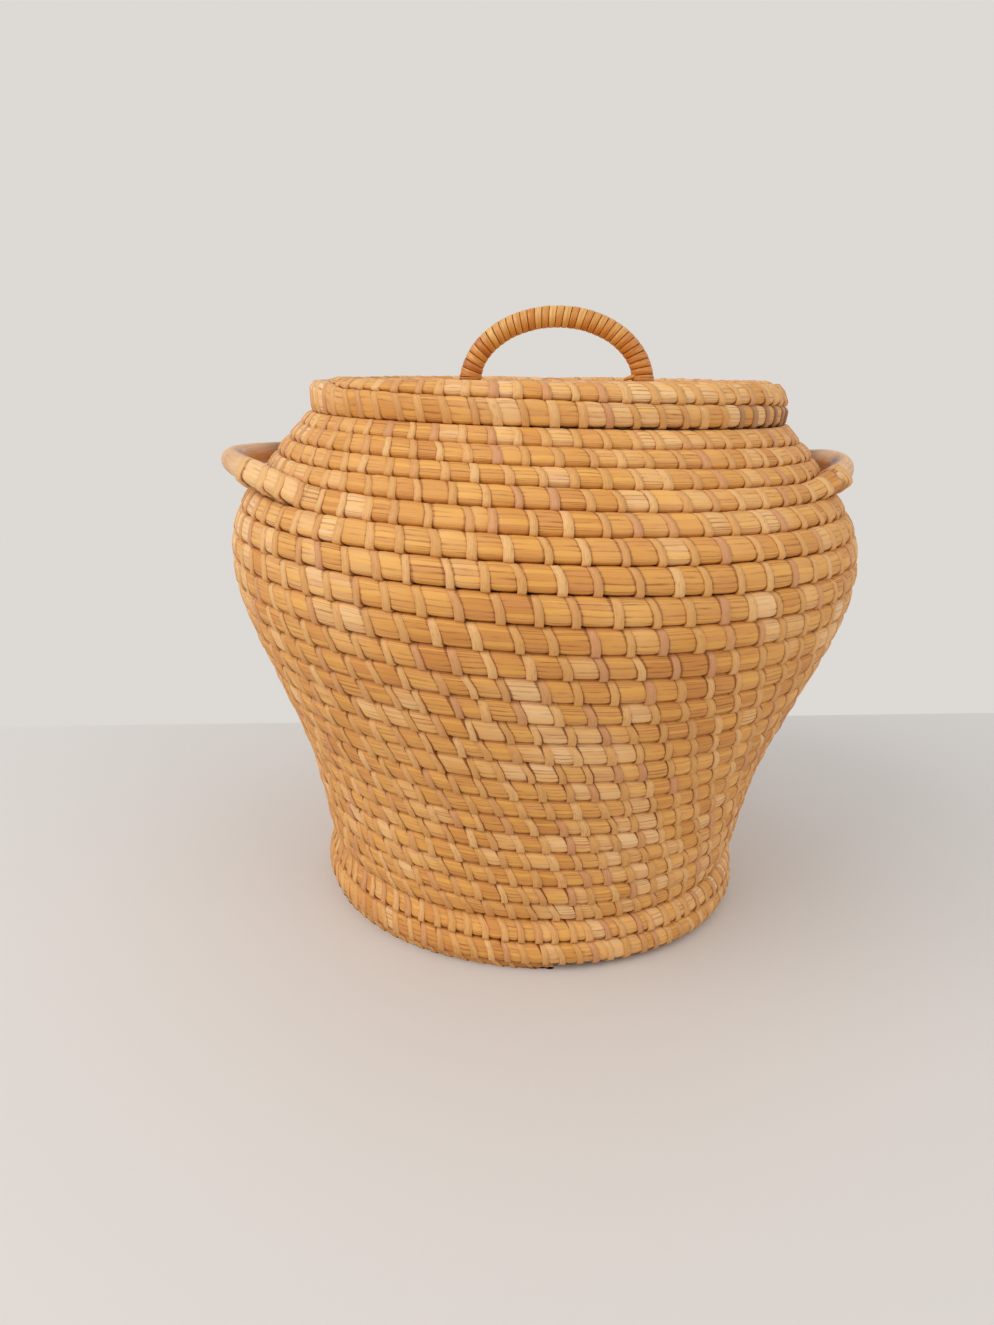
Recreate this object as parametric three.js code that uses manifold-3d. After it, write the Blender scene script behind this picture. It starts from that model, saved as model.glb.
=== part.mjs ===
// Lidded coiled basket with two side handles.
//
// A bundle of split cane is wound round and round and each turn is sewn to the turn below it. The wall is
// one such coil, from the foot to the mouth. Two bare poles leave it at the shoulder as side handles. The
// lid is a cap of the same coil with a bent and wrapped cane handle.
//
// Millimetres, +Z up. The origin is the centre of the circle on which the foot stands, and -Y is the front.
// "Rows" count turns of the wall coil down from the mouth, on the front centre line. Whole numbers are the
// grooves between turns and halves are the middles of turns. The coil climbs one row per turn, clockwise
// as seen from above.

import * as THREE from 'three';
import { mergeVertices } from 'three/addons/utils/BufferGeometryUtils.js';
import Module from 'manifold-3d';

const wasm = await Module();
wasm.setup();

// Driving dimensions of the wall

// Outline of the grooves from the floor up. "rise" is the height above the station before it.
const wallStations = [
  { at: 'foot edge', row: 25, radius: 155.5, rise: 4.2 },
  { at: 'foot groove', row: 24, radius: 154.1, rise: 16.4 },
  { at: 'heel', row: 23, radius: 149.3, rise: 14.1 },
  { at: 'waist', row: 22, radius: 153.7, rise: 14.2 },
  { at: 'low flare', row: 20, radius: 159.2, rise: 28.1 },
  { at: 'middle flare', row: 17, radius: 169.3, rise: 40.3 },
  { at: 'high flare', row: 13, radius: 191.8, rise: 56.8 },
  { at: 'under the belly', row: 10, radius: 208.7, rise: 43.4 },
  { at: 'belly', row: 8, radius: 215, rise: 31.3 },
  { at: 'over the belly', row: 6, radius: 210.4, rise: 31.6 },
  { at: 'shoulder', row: 4, radius: 193, rise: 25.4 },
  { at: 'collar', row: 2, radius: 177.5, rise: 20.6 },
  { at: 'mouth', row: 0, radius: 160, rise: 19.1 },
];
const wallRowDepth = 14;
const wallRowBulge = 2.8;
const turnGap = 0.5;
const endGap = 0.4;
const stepsPerTurn = 24;

// Rows at which one length of the wall coil is spliced to the next
const footTopRow = 23;
const waistTopRow = 17;
const flareTopRow = 11;

// The coil's last half turn at the mouth is pared down to a level seat for the lid.
const mouthTailTurns = 0.55;
const mouthTailPared = 0.36;
const mouthTailDepthShare = 0.35;

// Driving dimensions of the base

const baseThickness = 12.5;
const baseRowPitch = 13.6;
const baseRidge = 1.6;
const baseClearance = 0.5;
const baseAboveHeel = 2;

// Driving dimensions of the side handles

// Each pole leaves its row over "span" degrees of the wall. Its middle line bows out by "stand" and up by
// "lift". The right handle was bent less far out than the left one.
const handleDiameter = 15.5;
const leftHandleRow = 4.25;
const leftHandleSpan = 92;
const leftHandleStand = 26;
const leftHandleLift = 11;
const rightHandleRow = 3.75;
const rightHandleSpan = 68;
const rightHandleStand = 16;
const rightHandleLift = 13;
const handleTailClearance = 0.75;
const handleSteps = 16;
const handleSides = 8;
const rowBehindClearance = 1.6;
const rowBehindLeast = 3.6;

// Driving dimensions of the lid

const lidLean = 1.2;
const lidSeatClearance = 0.3;
// Outline of the lid's grooves, above its seat: "row" counts down from the lid's shoulder.
const lidStations = [
  { at: 'below the seat', row: 3, radius: 159, rise: -15 },
  { at: 'seat', row: 2, radius: 159.5, rise: 15 },
  { at: 'rim groove', row: 1, radius: 160, rise: 15.2 },
  { at: 'shoulder groove', row: 0, radius: 150, rise: 7.7 },
  { at: 'top groove', row: -1, radius: 137, rise: 0 },
];
// The lid's top leans and its seat is level. The rim between these heights is level too, and so its lower
// turn is deep at the left and shallow at the right.
const lidLevelAbove = [3, 10];
const lidLevelBelow = [14, 26];
const lidRowDepth = 13;
const lidRowBulge = 2.5;
const lidStartRow = 0;
const lidEndRow = 2.17;
const lidDiscThickness = 13;
const lidDiscTurns = 10;
const lidRidge = 4;
const lidRidgeShoulder = 0.25;
const plugDepth = 11;
const plugBelowSeat = 8;
const plugRows = 2;
const plugBulge = 1.8;
const plugClearance = 0.5;

// Driving dimensions of the lid's handle

const archCentreX = 6.5;
const archHalfWidth = 60;
const archHeight = 44;
const archFootAboveSeat = 21.5;
const archCoreRadius = 4.8;
const archSides = 8;
const archSteps = 18;
const wrapThickness = 0.9;
const wrapClearance = 0.35;
const wrapTurns = 17;
const wrapStepsPerTurn = 5;
const wrapSeam = 0.65;
const legClearance = 0.3;
const collarHeight = 5.5;
const collarThickness = 3;
const tieHeight = 6;
const tieThickness = 5.5;
const legBelowTie = 1.5;
const seatGap = 0.3;

// Colours

const caneGold = new THREE.MeshStandardMaterial({ color: 0xd9a866, roughness: 0.6, metalness: 0 });
const canePale = new THREE.MeshStandardMaterial({ color: 0xe2b985, roughness: 0.6, metalness: 0 });
const polePale = new THREE.MeshStandardMaterial({ color: 0xd6ae82, roughness: 0.5, metalness: 0 });
const wrapHoney = new THREE.MeshStandardMaterial({ color: 0xc07a32, roughness: 0.5, metalness: 0 });
const coreBrown = new THREE.MeshStandardMaterial({ color: 0xa8713a, roughness: 0.6, metalness: 0 });

// Outlines

// Turns a list of stations into a smooth curve: point(row) gives [radius, height] of the groove there.
function smoothOutline(stations) {
  let height = 0;
  const knots = stations.map(({ row, radius, rise }) => {
    height += rise;
    return { row, at: [radius, height] };
  }).reverse();
  const last = knots.length - 1;
  const slope = (i, axis) => {
    const before = knots[Math.max(i - 1, 0)];
    const after = knots[Math.min(i + 1, last)];
    return (after.at[axis] - before.at[axis]) / (after.row - before.row);
  };
  return (row) => [0, 1].map((axis) => {
    if (row <= knots[0].row) return knots[0].at[axis] + (row - knots[0].row) * slope(0, axis);
    if (row >= knots[last].row) return knots[last].at[axis] + (row - knots[last].row) * slope(last, axis);
    const i = knots.findIndex((knot) => knot.row > row) - 1;
    const width = knots[i + 1].row - knots[i].row;
    const t = (row - knots[i].row) / width;
    const rise = t * t * (3 - 2 * t);
    return knots[i].at[axis] * (1 - rise) + knots[i + 1].at[axis] * rise
      + width * t * (1 - t) * ((1 - t) * slope(i, axis) - t * slope(i + 1, axis));
  });
}

// The groove curve with its outward normal and the direction that runs up the wall.
function frameOn(outline, row) {
  const nudge = 0.01;
  const [r, z] = outline(row);
  const above = outline(row - nudge);
  const below = outline(row + nudge);
  const length = Math.hypot(above[0] - below[0], above[1] - below[1]);
  const up = [(above[0] - below[0]) / length, (above[1] - below[1]) / length];
  return { r, z, up, out: [up[1], -up[0]] };
}

function alongFrame({ r, z, up, out }, outward, upward) {
  return [r + out[0] * outward + up[0] * upward, z + out[1] * outward + up[1] * upward];
}

const wallOutline = smoothOutline(wallStations);
const mouthHeight = wallStations.reduce((sum, station) => sum + station.rise, 0);
const wallPitch = (row) => Math.hypot(
  wallOutline(row - 0.5)[0] - wallOutline(row + 0.5)[0],
  wallOutline(row - 0.5)[1] - wallOutline(row + 0.5)[1],
);

// Tubes

// The azimuth of a row, clockwise from the front as seen from above.
const azimuthOf = (row) => -2 * Math.PI * (row - 0.5);

function placed([r, z], row) {
  const azimuth = azimuthOf(row);
  return new THREE.Vector3(-r * Math.sin(azimuth), -r * Math.cos(azimuth), z);
}

// Makes a closed mesh whose faces point out, with its shared vertices merged.
function closed(geometry) {
  geometry.deleteAttribute('normal');
  geometry.deleteAttribute('uv');
  const merged = mergeVertices(geometry, 1e-4);
  const position = merged.attributes.position;
  const index = merged.index.array;
  const corner = [0, 1, 2].map(() => new THREE.Vector3());
  let volume = 0;
  for (let i = 0; i < index.length; i += 3) {
    corner.forEach((point, k) => point.fromBufferAttribute(position, index[i + k]));
    volume += corner[0].dot(corner[1].cross(corner[2]));
  }
  if (volume < 0) {
    for (let i = 0; i < index.length; i += 3) [index[i], index[i + 1]] = [index[i + 1], index[i]];
  }
  merged.computeVertexNormals();
  return merged;
}

// Skins equal rings of points into one tube and closes each end with a fan round its middle.
function tubeFromRings(rings) {
  const sides = rings[0].length;
  const points = rings.flat();
  const middle = (ring) => ring.reduce((sum, p) => sum.add(p), new THREE.Vector3()).divideScalar(sides);
  const firstMiddle = points.length;
  points.push(middle(rings[0]), middle(rings[rings.length - 1]));
  const index = [];
  for (let i = 0; i + 1 < rings.length; i += 1) {
    for (let j = 0; j < sides; j += 1) {
      const a = i * sides + j;
      const b = i * sides + (j + 1) % sides;
      index.push(a, b, a + sides, b, b + sides, a + sides);
    }
  }
  const lastRing = (rings.length - 1) * sides;
  for (let j = 0; j < sides; j += 1) {
    const next = (j + 1) % sides;
    index.push(firstMiddle, next, j);
    index.push(firstMiddle + 1, lastRing + j, lastRing + next);
  }
  const geometry = new THREE.BufferGeometry();
  geometry.setAttribute('position', new THREE.Float32BufferAttribute(points.flatMap((p) => p.toArray()), 3));
  geometry.setIndex(index);
  return closed(geometry);
}

// The section of a coil at one row: two faces against its neighbours, a crest outside and one inside.
function coilSection(outline, row, { depth, bulge, depthShare = 1, keep = (point) => point }) {
  const flat = depth - 2 * bulge;
  const top = frameOn(outline, row - 0.5);
  const bottom = frameOn(outline, row + 0.5);
  const middle = frameOn(outline, row);
  const half = turnGap / 2;
  return [
    alongFrame(middle, bulge * depthShare, 0),
    alongFrame(top, 0, -half),
    alongFrame(top, -flat * depthShare, -half),
    alongFrame(middle, -(flat + bulge) * depthShare, 0),
    alongFrame(bottom, -flat * depthShare, half),
    alongFrame(bottom, 0, half),
  ].map((point) => keep(placed(point, row)));
}

const stepOf = (row) => (row - 0.5) * stepsPerTurn;
const rowOfStep = (step) => 0.5 + step / stepsPerTurn;

// Points at a row, on the straight chord between the two steps round it.
function onChord(row, pointsAt) {
  const step = Math.floor(stepOf(row));
  const low = pointsAt(rowOfStep(step));
  const high = pointsAt(rowOfStep(step + 1));
  return low.map((point, i) => point.clone().lerp(high[i], stepOf(row) - step));
}

// The rows between two ends that lie on the steps shared by all turns, or on equal parts of those steps.
function rowsBetween(fromRow, toRow, parts = 1) {
  const margin = 0.1;
  const rows = [fromRow];
  for (let i = Math.ceil(stepOf(fromRow) * parts + margin); i < stepOf(toRow) * parts - margin; i += 1) {
    rows.push(rowOfStep(i / parts));
  }
  return [...rows, toRow];
}

// Rings of a coil between two rows. Its turns share their steps, and so they stay parallel.
function coilRings(fromRow, toRow, sectionAt) {
  return rowsBetween(fromRow, toRow).map((row) => onChord(row, sectionAt));
}

// Least distance between a tube's points and those one turn further on.
function leastGap(rings, turn) {
  let least = Infinity;
  for (let i = 0; i + turn < rings.length; i += 1) {
    for (let k = i + turn - 1; k <= Math.min(i + turn + 1, rings.length - 1); k += 1) {
      for (const p of rings[i]) for (const q of rings[k]) least = Math.min(least, p.distanceTo(q));
    }
  }
  return least;
}

function coil(name, fromRow, toRow, sectionAt) {
  const rings = coilRings(fromRow, toRow, sectionAt);
  if (rings.length > stepsPerTurn + 2) {
    console.log(`${name}: least gap between turns ${leastGap(rings, stepsPerTurn).toFixed(2)} mm`);
  }
  return tubeFromRings(rings);
}

// A round tube of varying radius along a list of points. Its ends lie square to a circle about the Z axis.
function roundTube(points, radiusAt, sides) {
  const rings = points.map((point, i) => {
    const isEnd = i === 0 || i === points.length - 1;
    const along = isEnd
      ? new THREE.Vector3(-point.y, point.x, 0).normalize()
      : points[i + 1].clone().sub(points[i - 1]).normalize();
    const across = new THREE.Vector3(0, 0, 1).cross(along).normalize();
    const up = along.clone().cross(across);
    return Array.from({ length: sides }, (_, j) => {
      const turn = (2 * Math.PI * (j + 0.5)) / sides;
      return point.clone()
        .addScaledVector(across, radiusAt(i) * Math.cos(turn))
        .addScaledVector(up, radiusAt(i) * Math.sin(turn));
    });
  });
  return tubeFromRings(rings);
}

// A turned solid about the Z axis from [radius, height] pairs.
function turned(profile) {
  const points = profile.map(([r, z]) => new THREE.Vector2(r, z));
  return closed(new THREE.LatheGeometry(points, stepsPerTurn).rotateX(Math.PI / 2));
}

// Profile of a flat disc of coil turns: flat below, one ridge per turn above.
function ridgedDisc(radius, bottom, thickness, pitch, ridge) {
  const profile = [[0, bottom], [radius, bottom]];
  const turns = Math.floor(radius / pitch);
  for (let i = 0; i < turns; i += 1) {
    const outer = radius - i * pitch;
    profile.push([outer, bottom + thickness - ridge], [outer - pitch / 2, bottom + thickness]);
  }
  profile.push([radius - turns * pitch, bottom + thickness - ridge], [0, bottom + thickness - ridge / 2]);
  return profile;
}

function toManifold(geometry) {
  return new wasm.Manifold(new wasm.Mesh({
    numProp: 3,
    vertProperties: geometry.attributes.position.array,
    triVerts: new Uint32Array(geometry.index.array),
  }));
}

function fromManifold(solid) {
  const mesh = solid.getMesh();
  const geometry = new THREE.BufferGeometry();
  geometry.setAttribute('position', new THREE.BufferAttribute(mesh.vertProperties, 3));
  geometry.setIndex(new THREE.BufferAttribute(mesh.triVerts, 1));
  return closed(geometry);
}

// Assembly

const basket = new THREE.Group();
const lid = new THREE.Group();
lid.position.z = mouthHeight;
lid.rotation.y = -THREE.MathUtils.degToRad(lidLean);
basket.add(lid);

function add(parent, name, geometry, material) {
  const mesh = new THREE.Mesh(geometry, material.clone());
  mesh.name = name;
  parent.add(mesh);
}

// Wall coil

const turnsAcross = (degrees) => degrees / 360;
const endGapTurns = endGap / (2 * Math.PI * wallOutline(0)[0]);

// The wall's rows are level with the floor below and with the lid's seat above.
function wallSection(row) {
  const pared = THREE.MathUtils.smoothstep(row, 0.5 - mouthTailTurns, 0.5 - mouthTailTurns + mouthTailPared);
  return coilSection(wallOutline, row, {
    depth: wallRowDepth,
    bulge: wallRowBulge,
    depthShare: mouthTailDepthShare + (1 - mouthTailDepthShare) * pared,
    keep: (point) => point.setZ(THREE.MathUtils.clamp(point.z, 0, mouthHeight)),
  });
}

const leftHalfTurns = turnsAcross(leftHandleSpan / 2);
const rightHalfTurns = turnsAcross(rightHandleSpan / 2);
const footStartRow = 25.52;
const spliceShift = endGapTurns / 2;

add(basket, 'foot_coil', coil('foot_coil', footTopRow + spliceShift, footStartRow, wallSection), caneGold);
add(basket, 'waist_coil',
  coil('waist_coil', waistTopRow + spliceShift, footTopRow - spliceShift, wallSection), canePale);
add(basket, 'flare_coil',
  coil('flare_coil', flareTopRow + spliceShift, waistTopRow - spliceShift, wallSection), caneGold);
add(basket, 'belly_coil',
  coil('belly_coil', leftHandleRow + leftHalfTurns, flareTopRow - spliceShift, wallSection), caneGold);
add(basket, 'handle_row_rear',
  coil('handle_row_rear', rightHandleRow + rightHalfTurns, leftHandleRow - leftHalfTurns, wallSection),
  canePale);
add(basket, 'shoulder_coil',
  coil('shoulder_coil', 0.5 - mouthTailTurns, rightHandleRow - rightHalfTurns, wallSection), canePale);

// Side handles: each pole lies in its row at both ends and bows outward between them.

const rowMiddleInward = wallRowDepth / 2 - wallRowBulge;

function sideHandle(middleRow, halfTurns, stand, lift) {
  const middle = frameOn(wallOutline, middleRow);
  const outward = stand * middle.out[0] + lift * middle.out[1];
  const upward = stand * middle.up[0] + lift * middle.up[1];
  const tailRadius = wallPitch(middleRow) / 2 - handleTailClearance;
  // 0 where the pole lies in the row and 1 where it stands furthest out
  const bow = (u) => Math.cos((Math.PI / 2) * u);
  const radius = (u) => THREE.MathUtils.lerp(tailRadius, handleDiameter / 2,
    THREE.MathUtils.smoothstep(bow(u), 0.2, 0.6));
  const centre = (u) => {
    const share = bow(u);
    const pointAt = (row) => [placed(alongFrame(
      frameOn(wallOutline, row), -rowMiddleInward + outward * share, upward * share ** 2), row)];
    const row = middleRow + u * (halfTurns - endGapTurns);
    return onChord(row, pointAt)[0].lerp(pointAt(row)[0], THREE.MathUtils.smoothstep(share, 0.15, 0.6));
  };
  return { middleRow, halfTurns, bow, radius, centre, outward };
}

function pole(handle) {
  const stations = Array.from({ length: handleSteps + 1 }, (_, i) => (2 * i) / handleSteps - 1);
  return roundTube(stations.map(handle.centre), (i) => handle.radius(stations[i]), handleSides);
}

// The row goes on behind each pole, as deep as the pole leaves room for, from where that is deep enough.
function rowBehind({ middleRow, halfTurns, bow, radius, outward }) {
  const flat = wallRowDepth - 2 * wallRowBulge;
  const roomAt = (u) => outward * bow(u) - radius(u) - rowMiddleInward - rowBehindClearance;
  const least = rowBehindLeast - flat - wallRowBulge;
  let end = 1;
  while (roomAt(end) < least) end -= 0.005;
  const rings = rowsBetween(middleRow - end * halfTurns, middleRow + end * halfTurns, 2).map((row) => {
    const crest = Math.min(wallRowBulge, roomAt((row - middleRow) / halfTurns));
    const edge = Math.min(0, crest);
    const ring = onChord(row, wallSection);
    ring[0] = onChord(row, (at) => [placed(alongFrame(frameOn(wallOutline, at), crest, 0), at)])[0];
    ring[1].lerp(ring[2], -edge / flat);
    ring[5].lerp(ring[4], -edge / flat);
    return ring;
  });
  return tubeFromRings(rings);
}

const leftHandle = sideHandle(leftHandleRow, leftHalfTurns, leftHandleStand, leftHandleLift);
const rightHandle = sideHandle(rightHandleRow, rightHalfTurns, rightHandleStand, rightHandleLift);
add(basket, 'side_handle_left', pole(leftHandle), polePale);
add(basket, 'side_handle_right', pole(rightHandle), polePale);
add(basket, 'row_behind_left_handle', rowBehind(leftHandle), canePale);
add(basket, 'row_behind_right_handle', rowBehind(rightHandle), canePale);

// Base: a flat disc of coil inside the heel.

const [heelRadius, heelHeight] = wallOutline(footTopRow);
const baseRadius = heelRadius - wallRowDepth + wallRowBulge - baseClearance;
add(basket, 'base_disc',
  turned(ridgedDisc(baseRadius, heelHeight + baseAboveHeel, baseThickness, baseRowPitch, baseRidge)), caneGold);

// Lid, in its own frame: its origin is the middle of the seat and it leans with its right side up.

const lidOutline = smoothOutline(lidStations);
const leanTangent = Math.tan(THREE.MathUtils.degToRad(lidLean));
const leanCosine = Math.cos(THREE.MathUtils.degToRad(lidLean));

function levelled(point) {
  const level = THREE.MathUtils.smoothstep(point.z, ...lidLevelAbove)
    - THREE.MathUtils.smoothstep(point.z, ...lidLevelBelow);
  return point.setZ(point.z - level * point.x * leanTangent);
}

function lidSection(row) {
  const seatAt = (x) => lidSeatClearance / leanCosine - x * leanTangent;
  return coilSection(lidOutline, row, {
    depth: lidRowDepth,
    bulge: lidRowBulge,
    keep: (point) => levelled(point).setZ(Math.max(point.z, seatAt(point.x))),
  });
}

add(lid, 'lid_rim_coil', coil('lid_rim_coil', lidStartRow + endGapTurns, lidEndRow, lidSection), caneGold);

const lidTop = lidOutline(lidStartRow)[1];
const discBottom = lidTop - lidDiscThickness;
const legX = [archCentreX - archHalfWidth, archCentreX + archHalfWidth];

// A flat spiral of turns that runs on into the coil of an outline, as one solid with a flat underside. Each
// turn has two shoulders with a groove between turns. Columns count grooves and shoulders inward from the rim.
function spiralDisc(outline, lastRow, turns, bottom) {
  const perTurn = 3;
  const columns = turns * perTurn;
  const grooveRow = (step) => lastRow - 0.5 + step / stepsPerTurn;
  const rimLine = (step) => frameOn(outline, grooveRow(step));
  const at = (step, flat) => levelled(placed(flat, grooveRow(step) + 0.5));
  const above = (step, column) => {
    if (step === stepsPerTurn && column >= perTurn) return above(0, column - perTurn);
    if (column === 0) return at(step, alongFrame(rimLine(step), -lidRidge, turnGap / 2));
    const part = column % perTurn;
    const share = [0, lidRidgeShoulder, 1 - lidRidgeShoulder][part];
    const line = frameOn(outline, grooveRow(step) - Math.floor(column / perTurn) - share);
    return at(step, alongFrame(line, part === 0 ? -lidRidge : 0, 0));
  };
  const below = (step) => {
    const line = rimLine(step);
    const depth = (line.z - bottom) / line.out[1];
    return placed([alongFrame(line, -depth, turnGap / 2)[0], bottom], grooveRow(step) + 0.5);
  };
  const middleAbove = new THREE.Vector3(0, 0, outline(grooveRow(0) - turns)[1] - lidRidge);
  const middleBelow = new THREE.Vector3(0, 0, bottom);
  const faces = [];
  const fan = (points) => {
    for (let i = 1; i + 1 < points.length; i += 1) faces.push(points[0], points[i], points[i + 1]);
  };
  for (let step = 0; step < stepsPerTurn; step += 1) {
    const next = step + 1;
    for (let column = 0; column < columns; column += 1) {
      fan([above(step, column), above(next, column), above(next, column + 1), above(step, column + 1)]);
    }
    fan([above(step, 0), below(step), below(next), above(next, 0)]);
    const last = next === stepsPerTurn;
    const inner = last ? [3, 2, 1].map((back) => above(0, columns - back)) : [];
    fan([above(step, columns), ...(last ? inner : []), above(next % stepsPerTurn, columns), middleAbove]);
    fan([below(step), middleBelow, ...(last ? [below(0)] : []), below(next)]);
  }
  fan([below(0), above(0, 0), above(stepsPerTurn, 2), above(stepsPerTurn, 1), above(stepsPerTurn, 0),
    below(stepsPerTurn)]);
  const geometry = new THREE.BufferGeometry();
  geometry.setAttribute('position', new THREE.Float32BufferAttribute(faces.flatMap((p) => p.toArray()), 3));
  geometry.setIndex(faces.map((_, i) => i));
  return closed(geometry);
}

// A short round bar along Z
function bar(x, radius, bottom, top) {
  const geometry = new THREE.CylinderGeometry(radius, radius, top - bottom, 12).rotateX(Math.PI / 2);
  return closed(geometry.translate(x, 0, (top + bottom) / 2));
}

const discBlank = spiralDisc(lidOutline, lidStartRow, lidDiscTurns, discBottom);
const legHoleRadius = (archCoreRadius + legClearance) / Math.cos(Math.PI / 12);
const disc = legX.reduce(
  (solid, x) => solid.subtract(toManifold(bar(x, legHoleRadius, discBottom - 1, lidTop + 1))),
  toManifold(discBlank),
);
add(lid, 'lid_top_disc', fromManifold(disc), canePale);

// Ring of coil under the lid that drops into the mouth and keeps the lid central
const plugOuter = lidOutline(lidEndRow)[0] - lidRowDepth + lidRowBulge - plugClearance;
const plugTop = discBottom - seatGap;
const plugBottom = -plugBelowSeat;
const plugProfile = [];
const plugPitch = (plugTop - plugBottom) / plugRows;
for (let i = 0; i < plugRows; i += 1) {
  plugProfile.push([plugOuter - plugBulge, plugBottom + i * plugPitch]);
  plugProfile.push([plugOuter, plugBottom + (i + 0.5) * plugPitch]);
}
plugProfile.push([plugOuter - plugBulge, plugTop]);
for (let i = plugRows; i > 0; i -= 1) {
  plugProfile.push([plugOuter - plugDepth + plugBulge, plugBottom + i * plugPitch]);
  plugProfile.push([plugOuter - plugDepth, plugBottom + (i - 0.5) * plugPitch]);
}
plugProfile.push([plugOuter - plugDepth + plugBulge, plugBottom], plugProfile[0]);
add(lid, 'lid_plug_ring', turned(plugProfile), caneGold);

// Lid handle: a cane bent to half an ellipse, whose legs pass through the disc.

const legBottom = discBottom - seatGap - tieHeight - legBelowTie;
const archPoint = (angle) => new THREE.Vector3(
  archCentreX - archHalfWidth * Math.cos(angle), 0, archFootAboveSeat + archHeight * Math.sin(angle),
);
const archPoints = Array.from({ length: archSteps + 1 }, (_, i) => archPoint((Math.PI * i) / archSteps));

function coreRing(point, along) {
  const across = new THREE.Vector3(0, 1, 0);
  const up = along.clone().cross(across);
  return Array.from({ length: archSides }, (_, j) => {
    const turn = (2 * Math.PI * (j + 0.5)) / archSides;
    return point.clone()
      .addScaledVector(up, archCoreRadius * Math.cos(turn))
      .addScaledVector(across, archCoreRadius * Math.sin(turn));
  });
}

const corePoints = [
  new THREE.Vector3(legX[0], 0, legBottom),
  ...archPoints,
  new THREE.Vector3(legX[1], 0, legBottom),
];
const coreAlong = (i) => {
  const before = corePoints[Math.max(i - 1, 0)];
  const after = corePoints[Math.min(i + 1, corePoints.length - 1)];
  if (i <= 1) return new THREE.Vector3(0, 0, 1);
  if (i >= corePoints.length - 2) return new THREE.Vector3(0, 0, -1);
  return after.clone().sub(before).normalize();
};
add(lid, 'lid_handle_core', tubeFromRings(corePoints.map((p, i) => coreRing(p, coreAlong(i)))), coreBrown);

// Collars sit on the disc round each leg, square to the arch there.

const collarInner = (archCoreRadius + legClearance) / Math.cos(Math.PI / 12);
const collarOuter = collarInner + collarThickness;
const archAlong = (angle) => new THREE.Vector3(
  archHalfWidth * Math.sin(angle), 0, archHeight * Math.cos(angle),
).normalize();
let collarAngle = 0;
for (let i = 0; i < 20; i += 1) {
  const along = archAlong(collarAngle);
  const height = lidTop + seatGap + (collarHeight / 2) * along.z + collarOuter * along.x;
  collarAngle = Math.asin((height - archFootAboveSeat) / archHeight);
}

// Wrap: one flat cane wound round the arch from collar to collar

const archSpeed = (angle) => Math.hypot(archHalfWidth * Math.sin(angle), archHeight * Math.cos(angle));

// Angles on the arch at equal lengths, found by adding up short chords
function equalAngles(from, to) {
  const fine = 2000;
  const step = (to - from) / fine;
  const travelled = [0];
  for (let i = 0; i < fine; i += 1) travelled.push(travelled[i] + archSpeed(from + (i + 0.5) * step) * step);
  const total = travelled[fine];
  return {
    total,
    angleAt: (length) => {
      const i = Math.min(travelled.findIndex((x) => x >= length - 1e-9), fine);
      return i <= 0 ? from : from + (i - (travelled[i] - length) / (travelled[i] - travelled[i - 1])) * step;
    },
  };
}

const collarHalfAngle = (collarHeight / 2 + wrapSeam) / archSpeed(collarAngle);
const wrapStartAngle = collarAngle + collarHalfAngle;
const run = equalAngles(wrapStartAngle, Math.PI - wrapStartAngle);
const wrapPitch = run.total / (wrapTurns + 1);
const wrapWidth = wrapPitch - wrapSeam;
const wrapInner = (archCoreRadius + wrapClearance) / Math.cos(Math.PI / wrapStepsPerTurn);
const wrapOuter = wrapInner + wrapThickness;

function wrapPoint(length, turn, radius) {
  const angle = run.angleAt(length);
  const along = archAlong(angle);
  const across = new THREE.Vector3(0, 1, 0);
  const up = along.clone().cross(across);
  return archPoint(angle)
    .addScaledVector(up, radius * Math.cos(turn))
    .addScaledVector(across, radius * Math.sin(turn));
}

const wrapRings = Array.from({ length: wrapTurns * wrapStepsPerTurn + 1 }, (_, i) => {
  const turns = i / wrapStepsPerTurn;
  const middle = wrapPitch * (turns + 0.5);
  const turn = 2 * Math.PI * turns;
  return [
    wrapPoint(middle - wrapWidth / 2, turn, wrapOuter),
    wrapPoint(middle + wrapWidth / 2, turn, wrapOuter),
    wrapPoint(middle + wrapWidth / 2, turn, wrapInner),
    wrapPoint(middle - wrapWidth / 2, turn, wrapInner),
  ];
});
console.log(`lid_handle_wrap: least gap between turns ${leastGap(wrapRings, wrapStepsPerTurn).toFixed(2)} mm`);
add(lid, 'lid_handle_wrap', tubeFromRings(wrapRings), wrapHoney);

// A ring round a leg, standing on the height zero of its own frame
function legRing(inner, height, thickness) {
  const outer = inner + thickness;
  const soft = thickness / 3;
  const profile = [
    [inner, 0], [outer - soft, 0], [outer, soft], [outer, height - soft],
    [outer - soft, height], [inner, height], [inner, 0],
  ].map(([r, z]) => new THREE.Vector2(r, z));
  return new THREE.LatheGeometry(profile, 12).rotateX(Math.PI / 2);
}

['left', 'right'].forEach((side, i) => {
  const mirror = i === 0 ? 1 : -1;
  const centre = archPoint(collarAngle);
  const tilt = Math.atan2(archAlong(collarAngle).x, archAlong(collarAngle).z);
  const collar = legRing(collarInner, collarHeight, collarThickness)
    .translate(0, 0, -collarHeight / 2)
    .rotateY(mirror * tilt)
    .translate(archCentreX + mirror * (centre.x - archCentreX), 0, centre.z);
  add(lid, `lid_handle_collar_${side}`, closed(collar), wrapHoney);
  const tie = legRing(collarInner, tieHeight, tieThickness)
    .translate(legX[i], 0, discBottom - seatGap - tieHeight);
  add(lid, `lid_handle_tie_${side}`, closed(tie), wrapHoney);
});

export default basket;
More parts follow.
